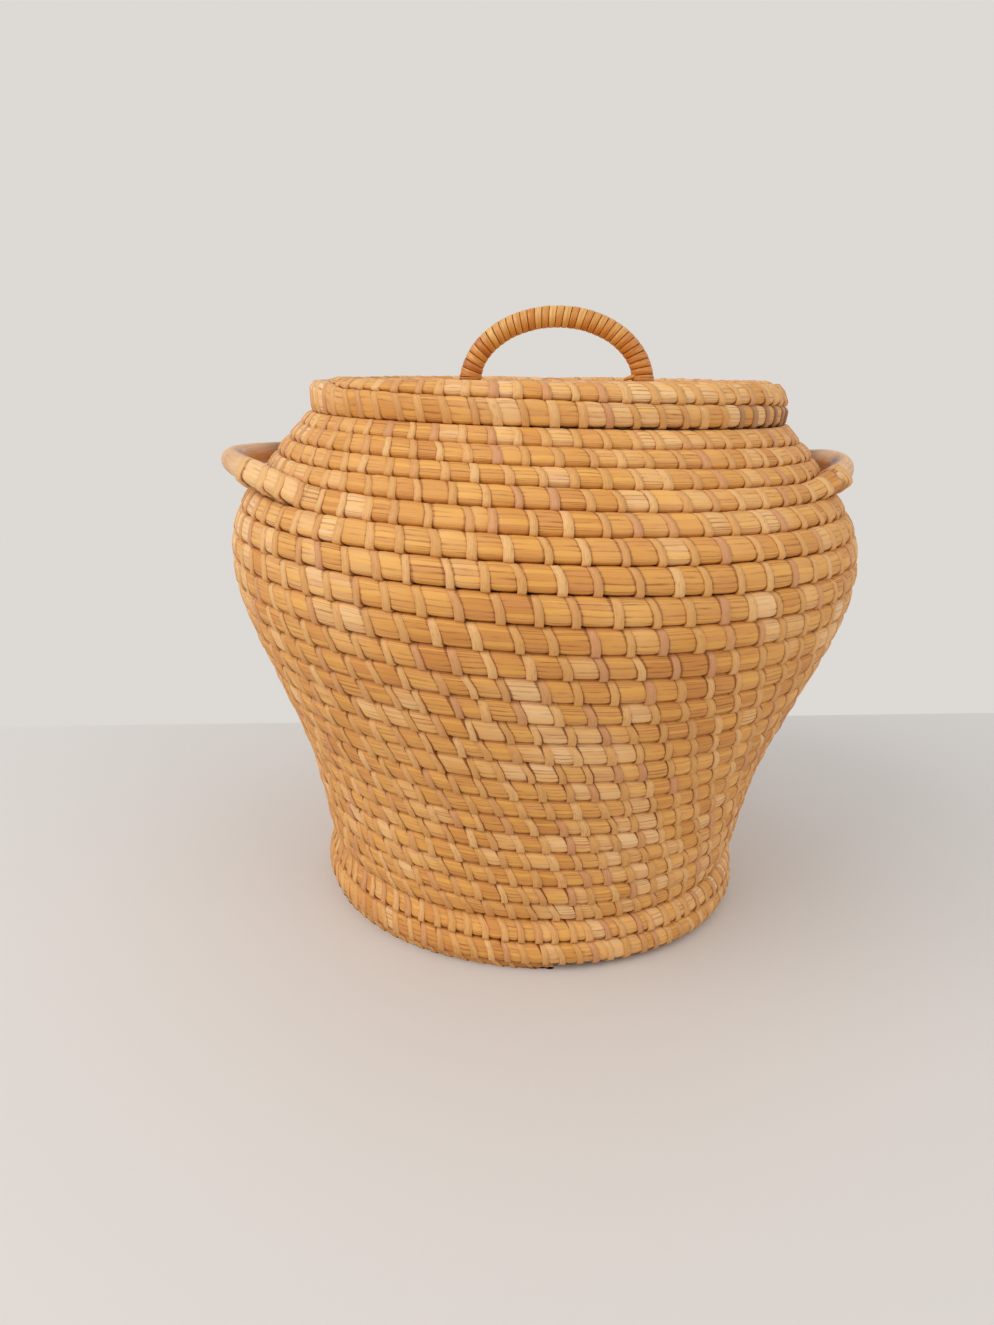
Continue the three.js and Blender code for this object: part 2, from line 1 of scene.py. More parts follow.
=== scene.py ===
# %% [markdown]
# # A lidded coiled basket
# The basket is one bundle of split cane, wound round and round and sewn to itself with flat cane. Everything
# here follows that: each length of coil is a tube wound along an outline, and each stitch is a short strip
# wound round the tube. The measured solids of the frame come first, because every piece takes its place and
# its moving body from them. Sizes of the basket are written in millimetres and turned into metres when a mesh
# is made, while the camera and the lamps are placed in metres.

# %% The fixed frame
import math

import bmesh
import bpy
import numpy as np
from mathutils import Matrix, Vector


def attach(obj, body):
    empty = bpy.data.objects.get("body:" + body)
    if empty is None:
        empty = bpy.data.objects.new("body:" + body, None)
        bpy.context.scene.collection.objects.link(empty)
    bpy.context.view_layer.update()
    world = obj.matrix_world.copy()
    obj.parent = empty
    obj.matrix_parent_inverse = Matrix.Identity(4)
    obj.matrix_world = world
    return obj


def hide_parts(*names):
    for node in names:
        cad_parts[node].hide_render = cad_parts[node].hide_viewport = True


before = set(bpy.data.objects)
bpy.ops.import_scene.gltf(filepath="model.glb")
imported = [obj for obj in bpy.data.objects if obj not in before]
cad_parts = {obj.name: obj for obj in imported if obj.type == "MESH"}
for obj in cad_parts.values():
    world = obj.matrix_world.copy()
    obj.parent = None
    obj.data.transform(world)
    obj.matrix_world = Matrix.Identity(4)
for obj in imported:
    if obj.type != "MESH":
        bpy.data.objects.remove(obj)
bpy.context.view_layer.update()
MM = 0.001

# %% [markdown]
# The camera stands where the photograph was taken: hardly higher than the lid's top and close to the basket,
# looking down at it. Its direction is written as three turns, and its axes are built from them, so that the
# slight tilt of the picture is kept too.

# %% Camera
yaw, pitch, roll = -0.0432, 0.2965, -0.0273
camera_place = (0, -0.6917, 0.3736)
rightward = Vector((math.cos(yaw), -math.sin(yaw), 0))
ahead = Vector((math.sin(yaw) * math.cos(pitch), math.cos(yaw) * math.cos(pitch), -math.sin(pitch)))
above = rightward.cross(ahead)
camera_x = rightward * math.cos(roll) - above * math.sin(roll)
camera_y = rightward * math.sin(roll) + above * math.cos(roll)

camera = bpy.data.objects.new("camera", bpy.data.cameras.new("camera"))
camera.data.lens = 25.81
camera.matrix_world = (
    Matrix.Translation(camera_place)
    @ Matrix((camera_x, camera_y, -ahead)).transposed().to_4x4()
)
bpy.context.scene.collection.objects.link(camera)
bpy.context.scene.camera = camera
bpy.context.scene.view_settings.view_transform = "Standard"
print("camera looks along", tuple(round(v, 3) for v in ahead))

# %% [markdown]
# Materials are small node trees. A few helpers keep them readable: one adds a node with its settings and
# links, and one writes a colour as it looks on screen, because shaders work in linear light. The others are
# the sums, noises and blends that every finish here is made of.

# %% Helpers for materials
def screen(red, green, blue):
    """A colour as seen on screen, 0 to 255, in the linear light that shaders use."""
    shares = [v / 255 for v in (red, green, blue)]
    return (*(v / 12.92 if v <= 0.04045 else ((v + 0.055) / 1.055) ** 2.4 for v in shares), 1)


def put(tree, value, socket):
    """Feeds a socket from another node's output, or sets a number or a colour on it."""
    if isinstance(value, bpy.types.NodeSocket):
        tree.links.new(value, socket)
    else:
        socket.default_value = value


def node(tree, kind, settings=None, **inputs):
    """Adds a shader node. An input goes by its name, or by i and its number where names repeat."""
    made = tree.nodes.new("ShaderNode" + kind)
    for name, value in (settings or {}).items():
        setattr(made, name, value)
    for name, value in inputs.items():
        numbered = name[0] == "i" and name[1:].isdigit()
        put(tree, value, made.inputs[int(name[1:]) if numbered else name])
    return made


def maths(tree, operation, first, second=0.0, third=0.0):
    return node(tree, "Math", {"operation": operation}, i0=first, i1=second, i2=third).outputs[0]


def times(tree, first, second):
    return maths(tree, "MULTIPLY", first, second)


def remap(tree, value, from_low, from_high, to_low=0.0, to_high=1.0):
    """A smooth step from one value to another."""
    ends = {"From Min": from_low, "From Max": from_high, "To Min": to_low, "To Max": to_high}
    return node(tree, "MapRange", {"interpolation_type": "SMOOTHSTEP"}, Value=value, **ends).outputs[0]


def ramp(tree, value, *stops):
    """Colours along a scale from 0 to 1, as (place, colour) stops in order."""
    made = node(tree, "ValToRGB", Fac=value)
    elements = made.color_ramp.elements
    for at, colour in stops[1:-1]:
        elements.new(at)
    for stop, (at, colour) in zip(elements, stops):
        stop.position = at
        stop.color = colour
    return made.outputs[0]


def tinted(tree, colour, share):
    """The colour times a grey share."""
    settings = {"data_type": "RGBA", "blend_type": "MULTIPLY"}
    grey = node(tree, "CombineColor", Red=share, Green=share, Blue=share).outputs[0]
    return node(tree, "Mix", settings, i0=1.0, i6=colour, i7=grey).outputs[2]


def blended(tree, first, second, share):
    return node(tree, "Mix", {"data_type": "RGBA"}, i0=share, i6=first, i7=second).outputs[2]


def draw(tree, number):
    """A value from 0 to 1 that is always the same for the same number."""
    return node(tree, "TexWhiteNoise", {"noise_dimensions": "1D"}, W=number).outputs[0]


def drift(tree, number, detail):
    """Slow noise along a row of numbers, so that neighbours are alike."""
    return node(tree, "TexNoise", {"noise_dimensions": "1D"}, W=number, Detail=detail).outputs[0]


def noise(tree, x, y, detail, roughness=0.5):
    """Noise on the flat map of a piece."""
    inputs = {"Scale": 1.0, "Detail": detail, "Roughness": roughness}
    place = node(tree, "CombineXYZ", X=x, Y=y).outputs[0]
    return node(tree, "TexNoise", {"noise_dimensions": "2D"}, Vector=place, **inputs).outputs[0]


def coil_axes(tree):
    """Along the piece and round it, from the piece's own map."""
    split = node(tree, "SeparateXYZ", Vector=node(tree, "UVMap", {"uv_map": "Coil"}).outputs[0])
    return split.outputs[0], split.outputs[1]


def object_place(tree):
    """The place on the basket, in metres, and its height."""
    place = node(tree, "TexCoord").outputs["Object"]
    return place, node(tree, "SeparateXYZ", Vector=place).outputs[2]


def fresh(name):
    """A new material with its tree and its main shader."""
    made = bpy.data.materials.new(name)
    made.use_nodes = True
    return made, made.node_tree, made.node_tree.nodes["Principled BSDF"]


def surface(tree, shader, colour, roughness, relief, strength, depth):
    """Feeds the main shader. The relief's depth is in metres."""
    put(tree, colour, shader.inputs["Base Color"])
    put(tree, roughness, shader.inputs["Roughness"])
    bump = node(tree, "Bump", Height=relief, Strength=strength, Distance=depth)
    put(tree, bump.outputs[0], shader.inputs["Normal"])
    print("finish ready:", len(tree.nodes), "nodes")


print("helpers ready")

# %% [markdown]
# The bundle shows between the stitches as little cushions of fine parallel strands. Each cushion has its own
# tone, from honey orange to pale cream, because no two lengths of cane age alike. The map along the coil
# counts stitches, so its whole part names the cushion and its remainder tells how near the next stitch is.

# %% Tone of the cane bundle
strands_round = 28.0
bundle_cane, tree, shader = fresh("bundle_cane")
along, around = coil_axes(tree)
place, altitude = object_place(tree)
cushion = maths(tree, "FLOOR", along)
batch = drift(tree, times(tree, cushion, 0.14), 1.5)
patch = node(tree, "TexNoise", Vector=place, Scale=9.0, Detail=2.0).outputs[0]
tone = maths(tree, "MULTIPLY_ADD", draw(tree, cushion), 0.24, times(tree, batch, 0.5))
tone = maths(tree, "MULTIPLY_ADD", patch, 0.8, tone)
# Painted light: the bundle grows paler towards the shoulder, which faces the light from above.
tone = maths(tree, "ADD", tone, remap(tree, altitude, 0.22, 0.34, 0.0, 0.07))
body = ramp(
    tree, remap(tree, tone, 0.5, 1.08),
    (0.0, screen(198, 130, 56)),
    (0.3, screen(211, 147, 68)),
    (0.6, screen(217, 157, 82)),
    (0.8, screen(225, 174, 112)),
    (1.0, screen(232, 188, 134)),
)

# %% [markdown]
# Then come the strands. Each has its own tone, and the lines between them fade in and out. Painted shade
# darkens the grooves and the places beside each stitch, and it is deeper towards the foot. Here and there the
# bark has split off along the upper groove and shows pinker cane.

# %% Strands and painted shade of the cane bundle
wave = noise(tree, times(tree, along, 0.35), times(tree, around, 5.0), 1.0)
strand = maths(tree, "MULTIPLY_ADD", around, strands_round, times(tree, wave, 0.9))
strand_name = maths(tree, "ADD", maths(tree, "FLOOR", strand), times(tree, cushion, 7.3))
strand_tone = draw(tree, strand_name)
streaks = blended(tree, body, screen(230, 170, 78), remap(tree, strand_tone, 0.62, 0.95, 0.0, 0.5))
body = blended(tree, streaks, screen(206, 136, 84), remap(tree, strand_tone, 0.3, 0.05, 0.0, 0.35))

fade = noise(tree, times(tree, along, 0.6), times(tree, around, 30.0), 2.0)
grain = noise(tree, times(tree, along, 3.0), times(tree, around, 90.0), 2.0)
plainness = draw(tree, maths(tree, "ADD", cushion, 0.71))
crown = remap(tree, maths(tree, "PINGPONG", strand, 0.5), 0.0, 0.24)
darkest = maths(tree, "MULTIPLY_ADD", plainness, 0.25, remap(tree, fade, 0.38, 0.62, 0.5, 0.84))
lines = maths(tree, "MINIMUM", maths(tree, "MAXIMUM", crown, darkest), 1.0)
lines = times(tree, lines, remap(tree, strand_tone, 0.0, 1.0, 0.88, 1.06))
lines = times(tree, lines, remap(tree, grain, 0.3, 0.7, 0.88, 1.06))

# Painted shade: the grooves and the places beside each stitch are darkened, and more so towards the foot.
darker_towards_foot = remap(tree, altitude, 0.28, 0.12, 0.0, 0.42)
to_stitch = maths(tree, "PINGPONG", along, 0.5)
painted_shade_beside_stitch = remap(tree, to_stitch, 0.13, 0.19, maths(tree, "SUBTRACT", 0.58, darker_towards_foot))
groove = maths(tree, "ABSOLUTE", maths(tree, "SINE", times(tree, around, 2 * math.pi)))
deep = remap(tree, groove, 0.02, 0.24, maths(tree, "SUBTRACT", 0.68, darker_towards_foot))
shade = times(tree, lines, times(tree, painted_shade_beside_stitch, deep))

near_groove = remap(tree, around, 0.085, 0.06)
split_bark = times(tree, near_groove, remap(tree, fade, 0.48, 0.58, 0.0, 0.75))
body = blended(tree, body, screen(212, 152, 112), split_bark)
# The painted shade blends the bundle's colour towards dark brown.
bark = blended(tree, screen(142, 70, 15), body, remap(tree, shade, 0.1, 0.85))
bark = tinted(tree, bark, remap(tree, shade, 0.4, 1.05, 0.86, 1.04))
roughness = remap(tree, strand_tone, 0.0, 1.0, 0.66, 0.54)
relief = maths(tree, "MULTIPLY_ADD", strand_tone, 0.6, lines)
surface(tree, shader, bark, roughness, relief, 0.6, 0.0004)

# %% [markdown]
# The stitches are flat cane with its glossy bark outside. Most match the bundle, some are pale, and now and
# then a few pinkish brown ones come off the same strip. Their edges are dark, partly from dust and old
# varnish and partly from painted shade where they stand proud of the bundle, and they grow darker towards the
# foot.
# The map along a stitch holds its number, so that each stitch draws its own tone and its own fibres. The end
# of the lid's coil is sewn with an older, browner cane, and so the finish is made twice.

# %% Finish of the stitches
def sewing_cane(name, *tones):
    """A finish for stitches with its own scale of tones."""
    made, tree, shader = fresh(name)
    along, around = coil_axes(tree)
    altitude = object_place(tree)[1]
    number = maths(tree, "FLOOR", along)
    own = draw(tree, maths(tree, "ADD", number, 0.37))
    strip = drift(tree, times(tree, number, 0.11), 1.0)
    tone = maths(tree, "MULTIPLY_ADD", own, 0.45, times(tree, strip, 0.8))
    body = ramp(tree, remap(tree, tone, 0.26, 0.98), *tones)

    shifted = times(tree, number, 3.7)
    fibre_across = maths(tree, "MULTIPLY_ADD", around, 11.0, shifted)
    fibres = noise(tree, times(tree, along, 3.4), fibre_across, 2.0, 0.6)
    fleck_across = maths(tree, "MULTIPLY_ADD", around, 7.0, shifted)
    flecks = noise(tree, times(tree, along, 16.0), fleck_across, 3.0)
    body = blended(tree, body, screen(196, 130, 78), remap(tree, flecks, 0.52, 0.72, 0.0, 0.5))

    off_centre = maths(tree, "ABSOLUTE", maths(tree, "SUBTRACT", around, 0.5))
    # Partly painted shade and partly dust: each stitch's edges are darkened where it stands proud of the
    # bundle.
    edge = remap(tree, off_centre, 0.33, 0.45, 1.0, 0.46)
    shade = times(tree, edge, remap(tree, fibres, 0.3, 0.55, 0.76, 1.0))
    shade = times(tree, shade, remap(tree, altitude, 0.12, 0.28, 0.86, 1.0))
    bark = blended(tree, screen(138, 71, 20), body, remap(tree, shade, 0.3, 0.8))
    bark = tinted(tree, bark, remap(tree, fibres, 0.4, 0.7, 0.95, 1.05))
    relief = maths(tree, "ADD", fibres, times(tree, flecks, 0.5))
    surface(tree, shader, bark, 0.56, relief, 0.5, 0.0005)
    return made


stitch_cane = sewing_cane(
    "stitch_cane",
    (0.0, screen(207, 146, 98)),
    (0.18, screen(212, 151, 92)),
    (0.42, screen(215, 157, 85)),
    (0.75, screen(224, 167, 99)),
    (1.0, screen(230, 180, 116)),
)
brown_stitch_cane = sewing_cane(
    "brown_stitch_cane",
    (0.0, screen(136, 90, 58)),
    (1.0, screen(180, 130, 86)),
)

# %% [markdown]
# The side handles are peeled rattan poles, smooth and paler than the coil, with painted shade in brown on
# their inner side where they dive into it. The winding of the lid's handle is the oldest looking cane of all:
# hands have darkened and polished it to orange brown. Painted light makes its top paler and its legs darker,
# and painted shade darkens the edges where its turns meet.

# %% Finishes of the handles
peeled_pole, tree, shader = fresh("peeled_pole")
along, around = coil_axes(tree)
place = object_place(tree)[0]
grain = noise(tree, times(tree, along, 1.5), times(tree, around, 34.0), 3.0)
cloud = node(tree, "TexNoise", Vector=place, Scale=26.0, Detail=2.0).outputs[0]
body = ramp(
    tree, maths(tree, "MULTIPLY_ADD", cloud, 0.65, times(tree, grain, 0.35)),
    (0.3, screen(190, 140, 92)),
    (0.5, screen(214, 166, 114)),
    (0.7, screen(228, 186, 136)),
)
# Painted shade: the poles' inner side is darkened towards their ends, where they dive into the coil.
inner_side = remap(tree, maths(tree, "COSINE", times(tree, around, 2 * math.pi)), -0.2, 0.6)
from_middle = maths(tree, "ABSOLUTE", maths(tree, "SUBTRACT", along, 4.5))
painted_inner_shade = times(tree, inner_side, remap(tree, from_middle, 0.3, 1.9, 0.0, 0.9))
bark = blended(tree, body, screen(106, 56, 28), painted_inner_shade)
surface(tree, shader, bark, remap(tree, grain, 0.3, 0.7, 0.5, 0.38), grain, 0.25, 0.0003)

handle_cane, tree, shader = fresh("handle_cane")
along, around = coil_axes(tree)
altitude = object_place(tree)[1]
own_tone = draw(tree, maths(tree, "FLOOR", along))
spots = noise(tree, times(tree, along, 3.0), times(tree, around, 4.0), 3.0)
# Painted light: the winding is paler towards its top and darker down its legs.
painted_top_light = remap(tree, altitude, 0.375, 0.412, -0.1, 0.12)
tone = maths(tree, "MULTIPLY_ADD", spots, 0.65, times(tree, own_tone, 0.35))
body = ramp(
    tree, maths(tree, "ADD", tone, painted_top_light),
    (0.24, screen(178, 100, 34)),
    (0.42, screen(196, 124, 46)),
    (0.6, screen(207, 145, 68)),
    (0.8, screen(226, 176, 100)),
)
# Painted shade: the edges of each turn are darkened where the turns meet.
off_centre = maths(tree, "ABSOLUTE", maths(tree, "SUBTRACT", around, 0.5))
bark = blended(tree, body, screen(150, 84, 30), remap(tree, off_centre, 0.38, 0.48, 0.0, 0.6))
surface(tree, shader, bark, 0.36, spots, 0.35, 0.0005)

core_cane, tree, shader = fresh("core_cane")
along, around = coil_axes(tree)
grain = noise(tree, along, times(tree, around, 16.0), 3.0)
bark = ramp(tree, grain, (0.3, screen(128, 78, 36)), (0.7, screen(186, 126, 72)))
surface(tree, shader, bark, 0.6, grain, 0.4, 0.0004)

# %% [markdown]
# The outline of the wall is a list of stations at the grooves between turns. "Row" counts turns down from the
# mouth on the front centre line: whole numbers are grooves and halves are the middles of turns. A smooth
# curve through the stations gives the radius and height at any row, so the coil can be wound along it.

# %% Outlines
wall_stations = [
    (0, 160, 345.5), (2, 177.5, 326.4), (4, 193, 305.8), (6, 210.4, 280.4), (8, 215, 248.8),
    (10, 208.7, 217.5), (13, 191.8, 174.1), (17, 169.3, 117.3), (20, 159.2, 77), (22, 153.7, 48.9),
    (23, 149.3, 34.7), (24, 154.1, 20.6), (25, 155.5, 4.2),
]


def ease(value, low, high):
    """A smooth step from 0 to 1 between two values."""
    share = np.clip((np.asarray(value) - low) / (high - low), 0, 1)
    return share * share * (3 - 2 * share)


def smooth_outline(stations):
    """A curve through (row, radius, height) stations. It gives [radius, height] at rows, and runs straight
    on beyond its ends."""
    table = np.array(stations, float)
    knots, at = table[:, 0], table[:, 1:]
    slopes = np.empty_like(at)
    slopes[1:-1] = (at[2:] - at[:-2]) / (knots[2:] - knots[:-2])[:, None]
    slopes[[0, -1]] = (at[[1, -1]] - at[[0, -2]]) / (knots[[1, -1]] - knots[[0, -2]])[:, None]

    def point(rows):
        rows = np.asarray(rows, float)[..., None]
        i = np.clip(np.searchsorted(knots, rows[..., 0], "right") - 1, 0, len(knots) - 2)
        width = (knots[i + 1] - knots[i])[..., None]
        t = np.clip((rows - knots[i][..., None]) / width, 0, 1)
        rise = t * t * (3 - 2 * t)
        bend = width * t * (1 - t) * ((1 - t) * slopes[i] - t * slopes[i + 1])
        beyond = rows - np.clip(rows, knots[0], knots[-1])
        straight_on = beyond * np.where(beyond < 0, slopes[0], slopes[-1])
        return at[i] * (1 - rise) + at[i + 1] * rise + bend + straight_on

    return point


wall_outline = smooth_outline(wall_stations)
print("belly radius:", wall_outline(8)[0], "mm, mouth at", wall_outline(0)[1], "mm")

# %% [markdown]
# A point of the coil is given by its row, its drop from the groove above (-1) to the groove below (1), and
# its distance outward from the line of grooves. A hand-made coil wanders a little, so a soft wave moves the
# grooves and the surface together. It repeats after a full turn, and so neighbouring turns stay side by side.

# %% Points on a coil
def wander(line, turn):
    """The coil's unevenness: a shift in rows and a shift outward in millimetres."""
    rows = 0.016 * np.sin(3 * turn + 1.7 * line) + 0.013 * np.sin(8 * turn - 2.3 * line + 1)
    outward = 0.22 * np.sin(5 * turn + 2.6 * line + 2) + 0.18 * np.sin(11 * turn - 4.1 * line)
    return rows, outward


def on_coil(outline, row, drop, outward, lift=0.0, even=False):
    """Places in millimetres. Half rows are at the front, and growing rows go round by the right."""
    line = row + drop / 2
    turn = 2 * np.pi * (row - 0.5)
    if not even:
        shift, swell = wander(line, turn)
        line, outward = line + shift, outward + swell
    nudge = 0.01
    up = outline(line - nudge) - outline(line + nudge)
    up /= np.linalg.norm(up, axis=-1, keepdims=True)
    out = np.stack([up[..., 1], -up[..., 0]], -1)
    flat = outline(line) + out * np.asarray(outward)[..., None] + up * np.asarray(lift)[..., None]
    radius, height = flat[..., 0], flat[..., 1]
    return np.stack([radius * np.sin(turn), -radius * np.cos(turn), height], -1)


def pitch_at(outline, row):
    """The height of one turn at a row, measured along the outline."""
    return np.linalg.norm(outline(np.asarray(row) - 0.5) - outline(np.asarray(row) + 0.5), axis=-1)


print("row height at the belly:", round(float(pitch_at(wall_outline, 8)), 1), "mm")

# %% [markdown]
# Every wound piece starts as a flat grid, like a strip of paper, which is rolled into its place. One helper
# does this for all: it makes the grids, lets a shape function say where their points go, welds the seams and
# closes the ends. A bevelled curve could make tubes too, but its sections stand square to its length, and the
# pinch of a leaning stitch has to slant across the bundle.

# %% Winding helper
def wound(name, along, around, shape, count=1):
    """A mesh of `count` rolled grids. shape(number, s, q) gives places in mm and the map's two axes."""
    bm = bmesh.new()
    for number in range(count):
        bmesh.ops.create_grid(bm, x_segments=along, y_segments=around, size=0.5,
                              matrix=Matrix.Translation((0.5, 0.5, number)))
    mesh = bpy.data.meshes.new(name)
    bm.to_mesh(mesh)
    grid = np.empty(len(mesh.vertices) * 3)
    mesh.vertices.foreach_get("co", grid)
    s, q, number = grid.reshape(-1, 3).T
    places, map_along, map_around = shape(number.round().astype(int), s, q)
    mesh.vertices.foreach_set("co", (places * MM).ravel())
    corners = np.empty(len(mesh.loops), int)
    mesh.loops.foreach_get("vertex_index", corners)
    both = np.stack([map_along, map_around], -1)[corners]
    mesh.uv_layers.new(name="Coil").data.foreach_set("uv", both.ravel())
    bm.clear()
    bm.from_mesh(mesh)
    bmesh.ops.remove_doubles(bm, verts=bm.verts, dist=1e-6)
    bmesh.ops.holes_fill(bm, edges=[edge for edge in bm.edges if edge.is_boundary])
    bmesh.ops.recalc_face_normals(bm, faces=bm.faces)
    for face in bm.faces:
        face.smooth = True
    bm.to_mesh(mesh)
    bm.free()
    return mesh


def dress(mesh, material, slot, body, *nodes):
    """Puts a finished mesh in the scene, on its body, in place of the solids that it stands for."""
    piece = bpy.data.objects.new(mesh.name, mesh)
    bpy.context.scene.collection.objects.link(piece)
    mesh.materials.append(material)
    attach(piece, body)
    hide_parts(*nodes)
    print(f"{mesh.name}: {sum(len(face.vertices) - 2 for face in mesh.polygons)} triangles")


# %% [markdown]
# The stitches are placed before the bundle, because each one pinches it. Their number per turn isn't whole,
# so they step a little sideways from row to row and make the slanting lines that coiled baskets show. The
# foot is sewn more closely than the wall. A fixed seed keeps the unevenness the same on every run.

# %% Places of the stitches
def stitch_places(from_row, to_row, per_turn, seed):
    """Rows at which the coil is sewn. per_turn(rows) gives the number of stitches in a turn."""
    rows = np.linspace(from_row, to_row, 20000)
    counted = np.concatenate([[0], np.cumsum(per_turn(rows[1:]) * np.diff(rows))])
    wanted = np.arange(1, int(counted[-1])).astype(float)
    wanted += np.random.default_rng(seed).normal(0, 0.07, len(wanted))
    return np.interp(wanted, counted, rows)


wall_stitches = stitch_places(-0.1, 25.6, lambda row: np.where(row > 23, 84.6, 66.58), 11)
print("stitches in the wall:", len(wall_stitches))

# %% [markdown]
# Each stitch leans: it leaves the groove above, slides to the right over the bundle and dives into the turn
# below. The bundle's section is a rounded box, drawn in where a stitch holds it and plump between stitches.
# Squeezing the section by its distance from the nearest stitch gives that without modelling single strands.

# %% Bundle and stitch shapes
stitch_lean, stitch_width = 5.0, 5.7
# Half the depth of a turn of the wall
half_depth = 7
# The grid of a bundle: steps from stitch to stitch and sides round it
bundle_steps, bundle_sides = 8, 20
# How much narrower a bundle is under a stitch, and how far from the stitch that reaches
pinch, pinch_reach = 0.1, 3.4
# The share of its row that a bundle fills
row_share = 0.985


def rounded(wave, power):
    """A sine or cosine wave, squared off so that a circle becomes a rounded box."""
    return np.sign(wave) * np.abs(wave) ** power


def lean(drop, reach):
    """How far a stitch has slid along the coil at a drop, in millimetres."""
    return reach * (0.17 - ((0.7 - drop) / 1.7) ** 2)


def flush(row):
    """The lift and the share of height of a coil that lies in its row."""
    return 0.0, 1.0


def bundle(name, outline, from_row, to_row, places, span, keep, raised=flush, even=False):
    """A length of coil. span(row) gives its outer and inner crests, outward from the line of grooves."""
    numbers = np.arange(len(places))
    plump = np.random.default_rng(len(places)).uniform(-0.3, 0.35, len(places) + 1)
    first, last = np.interp([from_row, to_row], places, numbers)
    count = max(int((last - first) * bundle_steps), bundle_steps)

    def shape(_, s, q):
        row = np.interp(first + s * (last - first), numbers, places)
        row = np.where(s < 1e-6, from_row, np.where(s > 1 - 1e-6, to_row, row))
        drop = -rounded(np.cos(2 * np.pi * q), 0.52)
        side = rounded(np.sin(2 * np.pi * q), 0.56)
        mm_per_row = 2 * np.pi * np.maximum(outline(row)[..., 0], 12)
        at = row - lean(drop, stitch_lean) / mm_per_row
        cell = np.interp(at, places, numbers, left=-0.5, right=len(places) - 0.5)
        nearest = places[np.clip(cell.round().astype(int), 0, len(places) - 1)]
        distance = (at - nearest) * mm_per_row
        squeeze = 1 - pinch * np.exp(-((distance / pinch_reach) ** 2))
        belly = plump[np.clip(cell.astype(int) + 1, 0, len(places))] * np.abs(np.sin(np.pi * cell))
        outer, inner = span(row)
        middle, half = (outer + inner) / 2, (outer - inner) / 2
        outward = middle + side * (half * squeeze + belly * np.clip(half / half_depth, 0, 1))
        lift, tall = raised(row)
        fall = drop * squeeze * tall * row_share
        return keep(on_coil(outline, row, fall, outward, lift, even)), cell, q

    return wound(name, count, bundle_sides, shape)


def sewn(name, outline, places, span, keep, width=stitch_width, proud=0.4, seed=3, raised=flush,
         even=False):
    """One closed strip round the bundle at each place. Its lower end reaches over the groove, and its
    underside is sunk a little towards the core, so that it stays hidden where `keep` flattens the strip."""
    chance = np.random.default_rng(seed)
    wide = width * chance.uniform(0.8, 1.18, len(places))
    slide = stitch_lean * chance.uniform(0.55, 1.4, len(places))
    rise = proud + chance.uniform(-0.12, 0.15, len(places))
    # The section of the strip: where each column lies across it, and whether it is on top or underneath
    columns = np.array([[-0.5, -1], [-0.4, 1], [0.4, 1], [0.5, -1], [-0.5, -1]])
    marks = np.array([0, 0.16, 0.84, 1.0, 1.16])
    underside, towards_core = -0.9, 0.12

    def shape(number, s, q):
        angle = np.where(s < 2 / 3, s * 1.5, 1 + (s - 2 / 3) * 3) * np.pi
        column = (q * 4).round().astype(int)
        across, on_top = columns[column].T
        height = np.where(on_top > 0, rise[number], underside)
        row = places[number]
        power = np.where((angle > np.pi / 2) & (angle < np.pi), 0.48, 0.6)
        drop = 0.1 - rounded(np.cos(angle), power) * (1 + height / (pitch_at(outline, row) / 2))
        mm_per_row = 2 * np.pi * np.maximum(outline(row)[..., 0], 12)
        at = row + (lean(drop, slide[number]) + across * wide[number]) / mm_per_row
        outer, inner = span(at)
        lift, tall = raised(at)
        middle = (outer + inner) / 2
        outward = middle + rounded(np.sin(angle), power) * ((outer - inner) / 2 + height)
        placed = keep(on_coil(outline, at, drop * tall, outward, lift, even))
        core = keep(on_coil(outline, at, 0 * at, middle, lift, even))
        placed += np.where(on_top > 0, 0, towards_core)[:, None] * (core - placed)
        return placed, number + 0.998 * s, marks[column]

    return wound(name, 12, 4, shape, len(places))


def between(places, from_row, to_row):
    return places[(places > from_row) & (places < to_row)]


# %% [markdown]
# The wall is wound in the same lengths as its solids: foot, waist, flare, belly and shoulder, and the row
# between the side handles at the back. Its foot is pressed flat on the floor, its outer edge there is rounded
# under, and its end is worn thin. At the mouth the coil's end is pared down to a level seat for the lid. The
# coil sinks away from that seat as it goes round by the right, and so its first turn is fattened there.

# %% Wall coil
mouth = 345.5
wall_from, wall_to = -0.05, 25.52
# The crests of a turn, outside and inside, from the line of grooves
wall_crest, wall_inside = 2.8, -11.2
# How far the foot's edge is drawn in at the floor, and up to what height
foot_drawn_in, foot_edge = 0.024, 9
# The middle row and half span of each side handle, in turns
left_row, left_half = 4.25, 46 / 360
right_row, right_half = 3.75, 34 / 360


def wall_span(row):
    """The wall's crests, pared where the coil ends at the mouth and worn where it ends at the foot."""
    pared = ease(row, wall_from, 0.31)
    worn = 2.5 * ease(row, 25.1, 25.5)
    return wall_crest * (0.7 + 0.3 * pared) - worn, wall_inside * (0.35 + 0.65 * pared)


def level_mouth(row):
    """The first turn is fattened upward where the coil has already sunk below the mouth."""
    row = np.asarray(row, float)
    sunk = np.clip(row - 0.5, 0, 0.46) * (1 - ease(row, 0.955, 0.985))
    tail = 0.14 * (1 - ease(row, 0.3, 0.5))
    return 6.5 * (sunk - tail), 1 + sunk + tail


def level(low, high):
    """Keeps points between two heights."""
    def keep(points):
        points[..., 2] = np.clip(points[..., 2], low, high)
        return points
    return keep


def standing(low, high):
    """The same, and draws in what is near the floor, so that the foot's edge is rounded under."""
    def keep(points):
        kept = level(low, high)(points)
        kept[..., :2] *= 1 - foot_drawn_in * (1 - ease(kept[..., 2:], 0, foot_edge))
        return kept
    return keep


